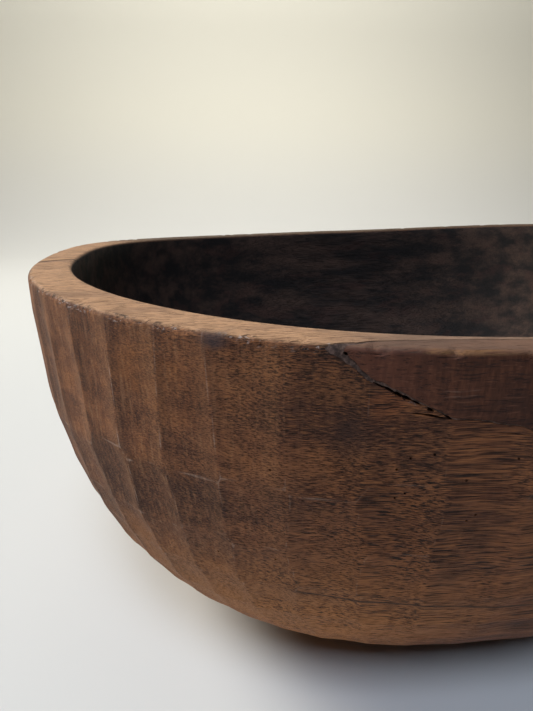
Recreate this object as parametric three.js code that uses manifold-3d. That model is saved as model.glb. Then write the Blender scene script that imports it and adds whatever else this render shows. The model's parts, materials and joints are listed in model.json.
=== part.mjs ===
import * as THREE from "three";
import { mergeVertices } from "three/addons/utils/BufferGeometryUtils.js";
import Module from "manifold-3d";

// A deep oval bowl hewn from one block of wood, with a repair let into its rim.
// Millimetres, +Z up. The bowl stands on z = 0, the grain runs along X and the repair is in the -Y side.

// Outside of the bowl
const RIM_LENGTH = 452; // over the two ends
const RIM_WIDTH = 398; // over the two sides
const RIM_HEIGHT = 209; // mean height of the rim
const FOOT_LENGTH = 172; // flat foot, along the grain
const FOOT_WIDTH = 152; // flat foot, across the grain
const PLAN_POWER = 2.43; // 2 is a true ellipse, more is squarer
const SIDE_POWER = 0.79; // less gives a fuller side
const TURN_POWER = 1.17; // less gives a tighter turn to the foot

// Hollow
const END_WALL = 20; // thickness of the rim at the ends
const SIDE_WALL = 17.5; // thickness of the rim at the sides
const FLOOR = 24; // thickness of the floor
const HOLLOW_FLOOR_LENGTH = 150; // level part of the floor, along the grain
const HOLLOW_FLOOR_WIDTH = 130; // level part of the floor, across the grain
const HOLLOW_POWER = 0.84; // less gives a fuller hollow

// The rim isn't level: these three heights bend it
const END_RISE = 4.4; // both ends rise, both sides drop
const END_SLOPE = 2.75; // one end is higher than the other
const RIM_TWIST = 2.3; // opposite quarters rise

// Adze flats on the outside, in columns that run from the rim to the foot
const COLUMNS = 52;
const RIM_COURSE = 62; // long flats under the rim
const COURSE_HEIGHT = 24; // shorter flats below them
const STROKE_DEPTH = 0.5; // each flat lies this far inside the ideal side
const STROKE_ROLL = 0.5; // most degrees that a flat leans to its left or right
const STROKE_PITCH = 0.8; // most degrees that a flat leans up or down
const COLUMN_STRAY = 0.16; // most share of its width that a column strays
const STROKE_SLIP = 4; // most that a flat lies higher or lower than its neighbours
const STROKE_HABIT = 181; // another number gives another hand

// Repair let into the rim: its seat is scooped by an egg that enters the rim from the front
const PATCH_CENTRE = -20; // along X
const PATCH_DROP = 34; // how far its seam falls below the rim
const PATCH_BACKING = 4; // wall left standing behind it at the rim
const SEAT_ALONG = 288; // half length of the egg: a longer egg gives a longer patch
const SEAT_OUT = 17.5; // the middle of the egg is this far in front of the side
const SEAT_UP = 53; // and this far above the rim
const FILLER = 0.8; // filler bed behind the patch
const GAP = 0.3; // clear space on each face of the filler

// Smoothness of the curved faces
const OVAL_STEPS = 72;
const HOLLOW_STEPS = 12;
const SEAT_STEPS = 96;

const ABOVE = 60; // cutters reach this far over the rim

const wasm = await Module();
wasm.setup();

function solid(geometry) {
  const bare = geometry.index ? geometry.toNonIndexed() : geometry.clone();
  bare.deleteAttribute("normal");
  bare.deleteAttribute("uv");
  const merged = mergeVertices(bare, 1e-4);
  return new wasm.Manifold(
    new wasm.Mesh({
      numProp: 3,
      vertProperties: merged.attributes.position.array,
      triVerts: new Uint32Array(merged.index.array),
    }),
  );
}

// A point of the unit oval at an angle
function ovalPoint(angle) {
  const stretch = (v) => Math.sign(v) * Math.abs(v) ** (2 / PLAN_POWER);
  return [stretch(Math.cos(angle)), stretch(Math.sin(angle))];
}

function rimHeight(angle) {
  return (
    RIM_HEIGHT +
    END_RISE * Math.cos(2 * angle) +
    RIM_TWIST * Math.sin(2 * angle) +
    END_SLOPE * Math.cos(angle)
  );
}

// Half length and half width of the outside at a height, which narrow from the rim to the foot
function outsideAt(height) {
  const fall = THREE.MathUtils.clamp(1 - height / RIM_HEIGHT, 0, 1);
  const share = Math.sqrt(1 - fall ** (2 / SIDE_POWER)) ** TURN_POWER;
  return [
    THREE.MathUtils.lerp(FOOT_LENGTH, RIM_LENGTH, share) / 2,
    THREE.MathUtils.lerp(FOOT_WIDTH, RIM_WIDTH, share) / 2,
  ];
}

// The outside from the rim down to the foot, at an end of the bowl
class Side extends THREE.Curve {
  getPoint(share, target = new THREE.Vector3()) {
    const height = RIM_HEIGHT * (1 - Math.sin((share * Math.PI) / 2) ** SIDE_POWER);
    return target.set(outsideAt(height)[0], 0, height);
  }
}

// One level ring round the outside
class Ring extends THREE.Curve {
  constructor(height) {
    super();
    this.height = height;
  }

  getPoint(turn, target = new THREE.Vector3()) {
    const [length, width] = outsideAt(this.height);
    const [x, y] = ovalPoint(turn * 2 * Math.PI);
    return target.set(length * x, width * y, this.height);
  }
}

// A repeatable uneven hand, from -1 to 1
function hand(course, stroke, habit) {
  const swing = Math.sin(course * 12.9898 + stroke * 78.233 + habit * 37.719) * 43758.5453;
  return 2 * (swing - Math.floor(swing)) - 1;
}

// One flat: a point on it and the way it faces
function strokeAt(height, course, column) {
  const stray = COLUMN_STRAY * hand(0, column, STROKE_HABIT);
  const turn = (1 + (column + stray) / COLUMNS) % 1;
  const ring = new Ring(height);
  const point = ring.getPoint(turn);
  const sideways = ring.getTangent(turn);
  const upward = point.clone().sub(new Ring(height - 1).getPoint(turn)).normalize();
  const facing = sideways.clone().cross(upward).normalize();
  const roll = THREE.MathUtils.degToRad(STROKE_ROLL * hand(course, column, STROKE_HABIT + 1));
  const pitch = THREE.MathUtils.degToRad(STROKE_PITCH * hand(course, column, STROKE_HABIT + 2));
  facing.applyAxisAngle(upward, roll).applyAxisAngle(sideways, pitch);
  return { point: point.addScaledVector(facing, -STROKE_DEPTH), facing };
}

// Every flat, course by course from the rim to the foot
function strokes() {
  const side = new Side();
  const below = side.getLength() - RIM_COURSE;
  const courses = Math.round(below / COURSE_HEIGHT);
  const flats = [];
  for (let course = 0; course <= courses; course++) {
    const lower = RIM_COURSE + (below * (course - 0.5)) / courses;
    const middle = course === 0 ? RIM_COURSE / 2 : lower;
    for (let column = 0; column < COLUMNS; column++) {
      const slip = STROKE_SLIP * hand(course, column, STROKE_HABIT + 3);
      const height = side.getPointAt((middle + slip) / side.getLength()).z;
      flats.push(strokeAt(height, course, column));
    }
  }
  return flats;
}

// The block, hewn flat by flat to the outside of the bowl
function hewnBlock() {
  const top = RIM_HEIGHT + ABOVE / 2;
  const block = new THREE.BoxGeometry(1.2 * RIM_LENGTH, 1.2 * RIM_WIDTH, top);
  block.translate(0, 0, top / 2);
  return strokes().reduce(
    (left, { point, facing }) =>
      left.trimByPlane(facing.clone().negate().toArray(), -facing.dot(point)),
    solid(block),
  );
}

// A lathed drum whose rings are pulled out to ovals: place(angle, radius, level) gives each point
function ovalDrum(profile, place) {
  const drum = new THREE.LatheGeometry(
    profile.map(([radius, level]) => new THREE.Vector2(radius, level)),
    OVAL_STEPS,
  ).rotateX(Math.PI / 2);
  const points = drum.attributes.position;
  for (let i = 0; i < points.count; i++) {
    const x = points.getX(i);
    const y = points.getY(i);
    points.setXYZ(i, ...place(Math.atan2(y, x), Math.hypot(x, y), points.getZ(i)));
  }
  return solid(drum);
}

// The hollow, from its floor up past the rim
function hollow() {
  const profile = [[0, 0]];
  for (let i = 0; i <= HOLLOW_STEPS; i++) {
    profile.push([1, i / HOLLOW_STEPS]);
  }
  profile.push([1, 2], [0, 2]);
  return ovalDrum(profile, (angle, radius, level) => {
    const turn = (Math.PI / 2) * (1 - Math.min(level, 1));
    const share = Math.cos(turn);
    const length = THREE.MathUtils.lerp(HOLLOW_FLOOR_LENGTH, RIM_LENGTH - 2 * END_WALL, share) / 2;
    const width = THREE.MathUtils.lerp(HOLLOW_FLOOR_WIDTH, RIM_WIDTH - 2 * SIDE_WALL, share) / 2;
    const rise = (RIM_HEIGHT - FLOOR) * (1 - Math.sin(turn) ** HOLLOW_POWER);
    const [x, y] = ovalPoint(angle);
    const over = ABOVE * Math.max(level - 1, 0);
    return [radius * length * x, radius * width * y, FLOOR + rise + over];
  });
}

// What is sawn off above the bent rim
function aboveRim() {
  const profile = [[0.5, 0], [1.2, 0], [1.2, 1], [0.5, 1], [0.5, 0]];
  return ovalDrum(profile, (angle, radius, level) => {
    const [x, y] = ovalPoint(angle);
    const height = rimHeight(angle) + ABOVE * level;
    return [(radius * RIM_LENGTH * x) / 2, (radius * RIM_WIDTH * y) / 2, height];
  });
}

// Half width and half height of the egg, from how deep it enters the rim and how far its seam falls
function seatRadii() {
  const depth = SIDE_WALL - PATCH_BACKING;
  const lean = outsideAt(RIM_HEIGHT)[1] - outsideAt(RIM_HEIGHT - PATCH_DROP)[1];
  const atRim = (depth + SEAT_OUT) ** 2;
  const atSeam = (lean + SEAT_OUT) ** 2;
  const rimUp = SEAT_UP ** 2;
  const seamUp = (SEAT_UP + PATCH_DROP) ** 2;
  const spread = atRim * seamUp - atSeam * rimUp;
  return [Math.sqrt(spread / (seamUp - rimUp)), Math.sqrt(spread / (atRim - atSeam))];
}

function seat(inset) {
  const [across, up] = seatRadii();
  const egg = new THREE.SphereGeometry(1, SEAT_STEPS, SEAT_STEPS / 2);
  egg.scale(SEAT_ALONG - inset, across - inset, up - inset);
  egg.translate(PATCH_CENTRE, -RIM_WIDTH / 2 - SEAT_OUT, RIM_HEIGHT + SEAT_UP);
  return solid(egg);
}

const bowl = hewnBlock().subtract(aboveRim()).subtract(hollow());
const bed = bowl.intersect(seat(GAP)).subtract(seat(GAP + FILLER));

const pieces = {
  bowl_body: [bowl.subtract(seat(0)), 0x60463a, 0.62],
  rim_patch: [bowl.intersect(seat(GAP + FILLER + GAP)), 0x4b3026, 0.55],
  seam_filler: [bed, 0x4a4346, 0.8],
};

const part = new THREE.Group();
for (const [name, [shape, color, roughness]] of Object.entries(pieces)) {
  const mesh = shape.getMesh();
  const geometry = new THREE.BufferGeometry();
  geometry.setAttribute("position", new THREE.BufferAttribute(mesh.vertProperties, 3));
  geometry.setIndex(new THREE.BufferAttribute(mesh.triVerts, 1));
  const material = new THREE.MeshStandardMaterial({ color, roughness, metalness: 0 });
  const piece = new THREE.Mesh(geometry, material);
  piece.name = name;
  part.add(piece);
}

// The frame's origin is under the middle of the bowl
const middle = new THREE.Box3().setFromObject(part).getCenter(new THREE.Vector3());
for (const piece of part.children) {
  piece.geometry.translate(-middle.x, -middle.y, 0);
}

export default part;
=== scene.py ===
# %% [markdown]
# # A hewn oval bowl with a repair let into its rim
# The object is a deep oval bowl that was cut from one block of open-pored brown hardwood.
# Its outside keeps the marks of the adze, and a darker piece of wood fills a broken place in its rim.
# The CAD part gives the frame: three solids that all ride on one body, with metres as the unit.

import json
import math

import bmesh
import bpy
import numpy as np
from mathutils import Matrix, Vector, noise
from mathutils.bvhtree import BVHTree
from mathutils.kdtree import KDTree

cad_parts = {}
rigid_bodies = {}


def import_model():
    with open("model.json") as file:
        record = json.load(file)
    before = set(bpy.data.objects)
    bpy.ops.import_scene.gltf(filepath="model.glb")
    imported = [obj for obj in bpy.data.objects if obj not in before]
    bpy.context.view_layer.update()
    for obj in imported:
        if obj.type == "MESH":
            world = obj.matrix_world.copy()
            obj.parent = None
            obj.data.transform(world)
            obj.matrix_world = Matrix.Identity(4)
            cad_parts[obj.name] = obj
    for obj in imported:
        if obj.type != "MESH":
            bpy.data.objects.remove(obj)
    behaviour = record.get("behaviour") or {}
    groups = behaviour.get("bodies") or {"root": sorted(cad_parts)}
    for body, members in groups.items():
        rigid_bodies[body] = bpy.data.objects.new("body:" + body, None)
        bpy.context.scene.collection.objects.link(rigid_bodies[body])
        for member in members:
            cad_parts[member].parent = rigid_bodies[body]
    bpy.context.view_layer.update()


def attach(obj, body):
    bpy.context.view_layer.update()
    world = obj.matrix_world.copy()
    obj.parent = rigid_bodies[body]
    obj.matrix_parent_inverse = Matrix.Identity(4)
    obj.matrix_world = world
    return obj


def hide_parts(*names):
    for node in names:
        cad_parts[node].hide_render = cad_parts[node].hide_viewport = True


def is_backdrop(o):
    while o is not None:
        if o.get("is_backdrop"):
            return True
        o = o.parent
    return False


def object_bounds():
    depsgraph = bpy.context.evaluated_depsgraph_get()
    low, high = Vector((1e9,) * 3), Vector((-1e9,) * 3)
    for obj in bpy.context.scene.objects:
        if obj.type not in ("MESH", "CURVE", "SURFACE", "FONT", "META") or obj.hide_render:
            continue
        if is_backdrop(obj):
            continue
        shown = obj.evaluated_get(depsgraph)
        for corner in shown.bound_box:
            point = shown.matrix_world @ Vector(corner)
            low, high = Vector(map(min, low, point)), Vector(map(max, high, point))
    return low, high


for leftover in list(bpy.data.objects):
    bpy.data.objects.remove(leftover)
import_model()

# %% [markdown]
# ## The rule of the bowl
# The bowl has no straight line in it, but its shape still follows a short rule.
# Seen from above, every level is the same squared oval, so one function gives all the plans.
# Two more functions say how wide that oval is at a height, on the outside and in the hollow.
# They repeat the rule of the CAD part, so that both models are the same bowl.

# %% The plan and the bent rim
PLAN_POWER, RIM_HEIGHT = 2.43, 0.209
END_RISE, END_SLOPE, RIM_TWIST = 0.0044, 0.00275, 0.0023


def oval(angle):
    """A point of the unit oval at an angle."""
    across, along = np.cos(angle), np.sin(angle)
    power = 2 / PLAN_POWER
    return np.sign(across) * np.abs(across) ** power, np.sign(along) * np.abs(along) ** power


def rim_height(angle):
    """The rim isn't level: its ends rise, and it twists a little."""
    bend = END_RISE * np.cos(2 * angle) + RIM_TWIST * np.sin(2 * angle)
    return RIM_HEIGHT + bend + END_SLOPE * np.cos(angle)


print("the ends rise to", [round(float(rim_height(end)), 4) for end in (0, math.pi)])

# %% How wide the bowl is at a height
RIM_LENGTH, RIM_WIDTH = 0.452, 0.398
FOOT_LENGTH, FOOT_WIDTH, SIDE_POWER, TURN_POWER = 0.172, 0.152, 0.79, 1.17
END_WALL, SIDE_WALL, FLOOR = 0.020, 0.0175, 0.024
HOLLOW_LENGTH, HOLLOW_WIDTH, HOLLOW_POWER = 0.150, 0.130, 0.84


def outside_at(height):
    """Half length and half width of the outside at a height."""
    fall = np.clip(1 - height / RIM_HEIGHT, 0, 1)
    share = np.sqrt(1 - fall ** (2 / SIDE_POWER)) ** TURN_POWER
    length = FOOT_LENGTH + (RIM_LENGTH - FOOT_LENGTH) * share
    width = FOOT_WIDTH + (RIM_WIDTH - FOOT_WIDTH) * share
    return length / 2, width / 2


def hollow_at(height):
    """Half length and half width of the hollow at a height."""
    rise = np.clip((height - FLOOR) / (RIM_HEIGHT - FLOOR), 0, 1)
    share = np.sqrt(1 - (1 - rise) ** (2 / HOLLOW_POWER))
    length = HOLLOW_LENGTH + (RIM_LENGTH - 2 * END_WALL - HOLLOW_LENGTH) * share
    width = HOLLOW_WIDTH + (RIM_WIDTH - 2 * SIDE_WALL - HOLLOW_WIDTH) * share
    return length / 2, width / 2


print("at half height the outside is", [round(2 * float(v), 3) for v in outside_at(RIM_HEIGHT / 2)])

# %% Points and directions on a side
MM = 0.001


def on_side(sizes_at, angle, height):
    """Points of the outside or of the hollow."""
    x, y = oval(angle)
    height = height + 0 * x
    length, width = sizes_at(height)
    return np.stack([length * x, width * y, height], -1)


def unit(vectors):
    return vectors / np.maximum(np.linalg.norm(vectors, axis=-1, keepdims=True), 1e-12)


def frame_of(sizes_at, angle, height):
    """The directions along the ring, up the side and out of it."""
    step, rise = 6e-4, MM
    along = unit(on_side(sizes_at, angle + step, height) - on_side(sizes_at, angle - step, height))
    upward = unit(on_side(sizes_at, angle, height) - on_side(sizes_at, angle, height - rise))
    return along, upward, unit(np.cross(along, upward))


front = frame_of(outside_at, -math.pi / 2, RIM_HEIGHT / 2)
print("half way up the front, the side faces", front[2].round(2))

# %% [markdown]
# ## The strokes of the adze
# The maker hewed the outside in columns that run straight from the rim to the foot, stroke under stroke:
# one long flat under the rim, then shorter ones.
# Each stroke is a point on the side, the way it faces, and half its width and height.
# An uneven hand moves every stroke a little, by a fixed rule, so that each run gives the same bowl.
# Dirt and oil stayed in some flats more than in others, so a few near the repair are named as dark or light.
# The hollow was cut with a gouge, so it has shallow strokes of its own, laid like bricks.

# %% An uneven hand
STROKE_HABIT, STROKE_SLIP = 181, 0.004  # another habit gives another hand


def hand(course, stroke, habit):
    """A repeatable uneven hand, from -1 to 1."""
    swing = np.sin(course * 12.9898 + stroke * 78.233 + habit * 37.719) * 43758.5453
    return 2 * (swing - np.floor(swing)) - 1


def evenly(points):
    """Distances along a line of points."""
    return np.concatenate([[0], np.cumsum(np.linalg.norm(np.diff(points, axis=0), axis=1))])


def side_heights(sizes_at, top, bottom, power):
    """Heights down a side and the distance to each of them from the rim."""
    share = np.sin(np.linspace(0, 1, 201) * np.pi / 2) ** power
    heights = top - (top - bottom) * share
    lengths = sizes_at(heights)[0]
    return heights, evenly(np.stack([lengths, heights], -1))


def flute_angles(flutes, stray):
    index = np.arange(flutes)
    return 2 * np.pi * (index + stray * hand(0, index, STROKE_HABIT)) / flutes


print("the hand slips up to", STROKE_SLIP, "m")

# %% The strokes of one course
STROKE_ROLL, STROKE_PITCH, SCOOP_UNEVEN = math.radians(0.5), math.radians(0.8), 0.4
DARK_FLATS = {  # course, column and tone, from -1 for light to 1 for dark
    0: {32: 0.3, 33: 0.4, 34: 0.2, 35: -0.6, 36: 0.35, 37: 0.5, 38: 0.1, 39: -0.2},
    1: {31: 0.3, 32: 0.95, 33: 0.8, 34: 0.9, 35: -0.3, 36: -0.5, 37: 0.2},
    2: {33: 0.1, 34: 0.2, 35: -0.6, 36: -0.8, 37: -0.2},
}


def course_of(sizes_at, course, angle, height, tall, scoop, depth):
    """All strokes of one course, one in each column."""
    index = np.arange(len(angle))
    sideways, upward, facing = frame_of(sizes_at, angle, height)
    facing = facing if sizes_at is outside_at else -facing
    roll = STROKE_ROLL * hand(course, index, STROKE_HABIT + 1)[:, None]
    pitch = STROKE_PITCH * hand(course, index, STROKE_HABIT + 2)[:, None]
    facing = unit(facing + roll * np.cross(upward, facing) + pitch * np.cross(sideways, facing))
    tone = hand(course, index, STROKE_HABIT + 5)
    for column, dark in DARK_FLATS.get(course, {}).items():
        tone[column] = dark
    half = np.pi / len(angle)
    width = on_side(sizes_at, angle + half, height) - on_side(sizes_at, angle - half, height)
    return {
        "point": on_side(sizes_at, angle, height) - depth * facing,
        "facing": facing,
        "sideways": unit(sideways - facing * np.sum(sideways * facing, -1, keepdims=True)),
        "half_width": np.linalg.norm(width, axis=-1) / 2,
        "half_height": np.full(len(angle), tall / 2),
        "scoop": scoop * (1 + SCOOP_UNEVEN * hand(course, index, STROKE_HABIT + 4)),
        "tone": tone,
    }


print(sum(len(flats) for flats in DARK_FLATS.values()), "flats have a tone of their own")

# %% Adze strokes outside
FLUTES, RIM_COURSE, COURSE_HEIGHT = 52, 0.062, 0.024
STROKE_DEPTH, FLUTE_STRAY, SCOOP_OUTSIDE = 0.0005, 0.16, 0.0007

heights, down = side_heights(outside_at, RIM_HEIGHT, 0, SIDE_POWER)
below = down[-1] - RIM_COURSE
rows_below = round(below / COURSE_HEIGHT)
flute_turn = flute_angles(FLUTES, FLUTE_STRAY)
courses = []
for course in range(rows_below + 1):
    middle = RIM_COURSE / 2 if course == 0 else RIM_COURSE + below * (course - 0.5) / rows_below
    slip = STROKE_SLIP * hand(course, np.arange(FLUTES), STROKE_HABIT + 3)
    level = np.interp(middle + slip, down, heights)
    tall = RIM_COURSE if course == 0 else below / rows_below
    courses.append(course_of(outside_at, course, flute_turn, level, tall, SCOOP_OUTSIDE, STROKE_DEPTH))
outside_strokes = FLUTES * len(courses)
print(outside_strokes, "adze strokes in", len(courses), "courses")

# %% Gouge strokes in the hollow
GOUGE_COLUMNS, GOUGE_HEIGHT, GOUGE_STRAY, SCOOP_INSIDE = 40, 0.036, 0.3, 0.0005
GOUGE_COURSE = 40  # rows of the gouge are counted on from here, well past the courses of the adze

heights, down = side_heights(hollow_at, RIM_HEIGHT, FLOOR, HOLLOW_POWER)
gouge_rows = round(down[-1] / GOUGE_HEIGHT)
for row in range(gouge_rows):
    turn = flute_angles(GOUGE_COLUMNS, GOUGE_STRAY) + np.pi / GOUGE_COLUMNS * (row % 2)
    slip = STROKE_SLIP * hand(GOUGE_COURSE + row, np.arange(GOUGE_COLUMNS), STROKE_HABIT)
    level = np.interp(down[-1] * (row + 0.5) / gouge_rows + slip, down, heights)
    tall = down[-1] / gouge_rows
    courses.append(course_of(hollow_at, GOUGE_COURSE + row, turn, level, tall, SCOOP_INSIDE, 0))
strokes = {key: np.concatenate([c[key] for c in courses]) for key in courses[0]}
print(len(strokes["scoop"]) - outside_strokes, "gouge strokes in", gouge_rows, "rows")

# %% [markdown]
# ## The bowl before it is hewn
# A lathe makes round bowls, but this one is oval and uneven, so its skin is laid ring by ring.
# The rings climb from the middle of the foot over the rim and down to the middle of the hollow.
# Every point also keeps the smooth place it was cut from, the way out of the wood there,
# and how much of a stroke it takes: none on the foot, less and less across the top of the rim.
# The columns of the skin follow the ridges between the flutes, so that each ridge comes out crisp.
# The flutes round the repair get twice as many columns as the others, and so do the rim and the
# upper side, because the foot and the hollow have less to show.

# %% Columns of the skin
FINE_FLUTES, FINE_COLUMNS, PLAIN_COLUMNS = range(24, 41), 20, 10

ridge_turn = (flute_turn + np.append(flute_turn[1:], flute_turn[0] + 2 * np.pi)) / 2
angles = np.concatenate([
    np.linspace(ridge_turn[i - 1] - (2 * np.pi if i == 0 else 0), ridge_turn[i],
                FINE_COLUMNS if i in FINE_FLUTES else PLAIN_COLUMNS, endpoint=False)
    for i in range(FLUTES)
])
rim_z = rim_height(angles)
nothing = np.zeros((len(angles), 3))


def flat_out(angle):
    """The level direction straight out of the rim."""
    along = frame_of(outside_at, angle, np.full(len(angle), RIM_HEIGHT))[0]
    return unit(np.stack([along[:, 1], -along[:, 0], 0 * angle], -1))


def ring(place, smooth, push, take, half=False, rim=0.0, edge=0.0, inside=0.0):
    """One ring of the skin with what its points keep. A half ring has every second column."""
    pick = slice(None, None, 2 if half else 1)
    numbers = {"take": take, "rim": rim, "edge": edge, "inside": inside}
    for name, value in numbers.items():
        numbers[name] = np.broadcast_to(value, len(place))[pick].astype(float)
    return {"place": place[pick], "smooth": smooth[pick], "push": push[pick], **numbers}


out = flat_out(angles)
print(len(angles), "columns,", FINE_COLUMNS, "in each fine flute")

# %% [markdown]
# The foot is a flat disc. From there the strokes set in slowly, because the low side was worn smooth
# by standing and sliding. A band under the rim is marked as its edge, for the chips and bruises to come.

# %% Rings of the foot and the outside
EDGE_ROUND, RING_STEP, EDGE_BAND = 0.0026, 0.0022, 0.009
FOOT_RINGS, FIRST_RINGS, PLAIN_BELOW = (0.3, 0.62, 0.88), 4, 0.36
WORN_SIDE, WORN_SHARE = (0.08, 0.42), 0.15

foot = on_side(outside_at, angles, 0)
rings = [ring(foot * share, foot * share, nothing, 0, half=True) for share in FOOT_RINGS]
heights, down = side_heights(outside_at, RIM_HEIGHT, 0, SIDE_POWER)
side_rings = round(down[-1] / RING_STEP)
for step in range(side_rings + 1):
    level = np.interp(down[-1] * (1 - step / side_rings), down, heights) / RIM_HEIGHT
    z = level * (rim_z - EDGE_ROUND)
    place = on_side(outside_at, angles, z)
    push = frame_of(outside_at, angles, np.maximum(z, MM))[2]
    near_rim = np.clip(1 - (rim_z - z) / EDGE_BAND, 0, 1)
    taken = min(step / FIRST_RINGS, 1) * np.interp(level, WORN_SIDE, (WORN_SHARE, 1))
    rings.append(ring(place, place, push, taken, half=level < PLAIN_BELOW, edge=near_rim))
print(len(rings), "rings up to the rim")

# %% Rings over the rim
LIP_ROUND, TOP_RINGS, EDGE_FADE = 0.0020, 8, 2.4
EDGE_TURNS, LIP_TURNS = (18, 36, 54, 72, 90), (60, 30)

for turn in np.radians(EDGE_TURNS):
    z = rim_z - EDGE_ROUND * (1 - math.sin(turn))
    smooth = on_side(outside_at, angles, z)
    place = smooth - EDGE_ROUND * (1 - math.cos(turn)) * out
    rings.append(ring(place, smooth, out, 1, rim=turn / math.radians(90), edge=1))
rim_outer = rings[-1]["place"]

lip = on_side(hollow_at, angles, RIM_HEIGHT)
lip[:, 2] = rim_z
rim_inner = lip + LIP_ROUND * out
for share in np.linspace(0, 1, TOP_RINGS + 1)[1:]:
    place = rim_outer + (rim_inner - rim_outer) * share
    smooth = on_side(outside_at, angles, rim_z)
    rings.append(ring(place, smooth, out, (1 - share) ** 2, rim=1, edge=max(0, 1 - EDGE_FADE * share)))
for turn in np.radians(LIP_TURNS):
    place = lip + LIP_ROUND * (1 - math.cos(turn)) * out
    place[:, 2] = rim_z - LIP_ROUND * (1 - math.sin(turn))
    rings.append(ring(place, place, nothing, 0, rim=math.sin(turn), inside=1 - math.sin(turn)))
print(len(rings), "rings up to the lip of the hollow")

# %% Rings of the hollow
HOLLOW_RINGS, GOUGE_FADE = 30, 5
FLOOR_RINGS = (0.85, 0.6, 0.3)

heights, down = side_heights(hollow_at, RIM_HEIGHT, FLOOR, HOLLOW_POWER)
for step in range(HOLLOW_RINGS + 1):
    level = (np.interp(down[-1] * step / HOLLOW_RINGS, down, heights) - FLOOR) / (RIM_HEIGHT - FLOOR)
    z = FLOOR + level * (rim_z - LIP_ROUND - FLOOR)
    place = on_side(hollow_at, angles, z)
    push = -frame_of(hollow_at, angles, np.maximum(z, FLOOR + MM))[2]
    taken = min(step / GOUGE_FADE, (HOLLOW_RINGS - step) / GOUGE_FADE, 1)
    rings.append(ring(place, place, push, taken, half=step > 1, inside=1))
floor = rings[-1]["place"]
for share in FLOOR_RINGS:
    place = np.repeat(floor * (share, share, 1), 2, axis=0)[:len(angles)]
    rings.append(ring(place, place, nothing, 0, half=True, inside=1))
print(len(rings), "rings,", sum(len(r["take"]) for r in rings), "points")

# %% [markdown]
# The rings become one closed mesh. Where a ring of many columns meets a ring of half as many,
# three triangles bridge each pair, and a fan closes the foot and the floor.
# It has to be closed, because the repair and the holes are cut later, and only closed shapes can be cut.


# %% Sew the rings into a closed skin
def sew(rings, low_pole, high_pole):
    """A closed mesh over rings that climb the outside, with the faces turned out."""
    starts = np.cumsum([0] + [len(r["take"]) for r in rings])
    faces = []
    for row in range(len(rings) - 1):
        below, above = len(rings[row]["take"]), len(rings[row + 1]["take"])
        a = starts[row] + np.arange(below)
        b = starts[row + 1] + np.arange(above)
        if below == above:
            faces += zip(a, np.roll(a, -1), np.roll(b, -1), b)
            continue
        many, few = (a, b) if below > above else (b, a)
        left, middle, right = many[::2], many[1::2], np.roll(many[::2], -1)
        next_few = np.roll(few, -1)
        bridge = [(left, middle, few), (middle, next_few, few), (middle, right, next_few)]
        for corners in bridge:
            faces += zip(*(corners if below > above else corners[::-1]))
    first = starts[0] + np.arange(len(rings[0]["take"]))
    last = starts[-2] + np.arange(len(rings[-1]["take"]))
    faces += zip(np.full(len(first), starts[-1]), np.roll(first, -1), first)
    faces += zip(last, np.roll(last, -1), np.full(len(last), starts[-1] + 1))
    points = np.concatenate([r["place"] for r in rings] + [[low_pole], [high_pole]])
    mesh = bpy.data.meshes.new("skin")
    mesh.from_pydata(points.tolist(), [], [tuple(int(i) for i in face) for face in faces])
    return mesh


def open_edges(mesh):
    """How many edges don't join exactly two faces."""
    grid = bmesh.new()
    grid.from_mesh(mesh)
    count = sum(not edge.is_manifold for edge in grid.edges)
    grid.free()
    return count


skin = sew(rings, (0, 0, 0), (0, 0, FLOOR))
print(len(skin.polygons), "faces,", open_edges(skin), "open edges")


# %% Store what the points keep
def keep(mesh, name, values):
    """Stores a number or a direction for every point of a mesh."""
    values = np.asarray(values, np.float32)
    kind, field = ("FLOAT", "value") if values.ndim == 1 else ("FLOAT_VECTOR", "vector")
    stored = mesh.attributes.get(name) or mesh.attributes.new(name, kind, "POINT")
    stored.data.foreach_set(field, values.ravel())


for name in ("smooth", "push"):
    keep(skin, name, np.concatenate([r[name] for r in rings] + [np.zeros((2, 3))]))
for name, ends in {"take": (0, 0), "rim": (0, 0), "edge": (0, 0), "inside": (0, 1)}.items():
    keep(skin, name, np.concatenate([r[name] for r in rings] + [ends]))
print("points keep", ", ".join(rings[0]))

# %% [markdown]
# ## One way to write node trees
# Both the adze work and the materials are node trees. A small class wraps a node's output,
# so that sums and products are written as plain expressions, and one method adds any other node.


# %% A bench for node trees
class Wire:
    """One output of a node. Arithmetic on it adds Math nodes."""

    def __init__(self, bench, socket):
        self.bench = bench
        self.socket = socket

    def math(self, operation, *others):
        return self.bench.math(operation, self, *others)

    def out(self, name):
        """Another output of the same node."""
        return Wire(self.bench, self.socket.node.outputs[name])

    def __add__(self, other):
        return self.math("ADD", other)

    def __sub__(self, other):
        return self.math("SUBTRACT", other)

    def __rsub__(self, other):
        return self.bench.math("SUBTRACT", other, self)

    def __mul__(self, other):
        return self.math("MULTIPLY", other)

    def __truediv__(self, other):
        return self.math("DIVIDE", other)

    def __rtruediv__(self, other):
        return self.bench.math("DIVIDE", other, self)

    def __pow__(self, other):
        return self.math("POWER", other)

    __radd__ = __add__
    __rmul__ = __mul__


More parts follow.
